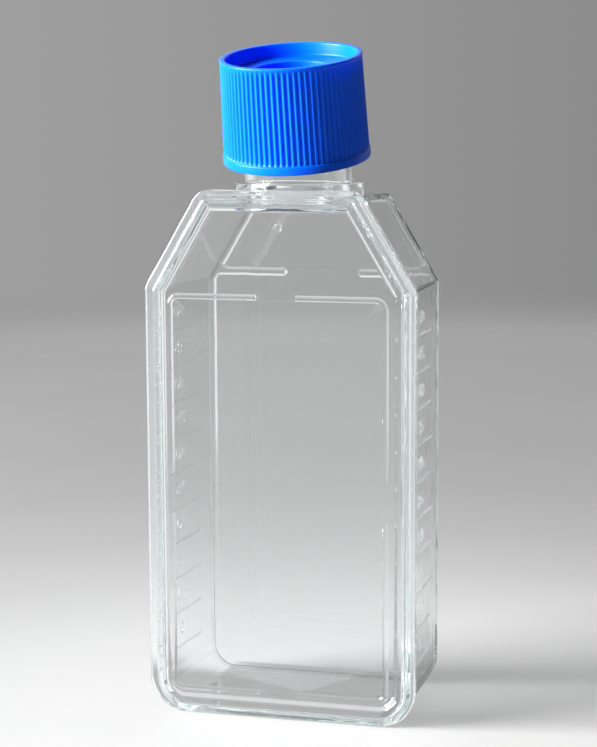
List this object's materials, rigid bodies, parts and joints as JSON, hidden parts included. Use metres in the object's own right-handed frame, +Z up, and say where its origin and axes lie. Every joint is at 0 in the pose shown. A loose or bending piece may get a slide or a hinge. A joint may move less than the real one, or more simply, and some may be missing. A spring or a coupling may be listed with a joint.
{
  "type": "cell culture flask",
  "caption": "Clear rectangular tissue culture flask with sloping shoulders, a canted round neck, a flat growth panel and a ribbed blue screw cap that lifts off.",
  "frame": {"origin": "middle of the flask's base, where it stands on its end", "axes": "+Z up the flask from its base to its neck, +Y out of the growth panel, +X to the right when the cover faces the viewer"},
  "size_m": [0.0426, 0.029, 0.1042],
  "materials": {
    "clear_body": "clear moulded polystyrene, polished",
    "clear_cover": "clear moulded polystyrene, polished",
    "blue_cap": "semi-gloss moulded blue plastic"
  },
  "bodies": {
    "flask": {"flask_body": "clear_body", "cover_plate": "clear_cover"},
    "cap": {"screw_cap": "blue_cap"}
  },
  "joints": [
    {"name": "cap_lift", "type": "slide", "parent": "flask", "child": "cap", "axis": [0, -0.2079, 0.9781], "range_m": [0, 0.03]}
  ]
}
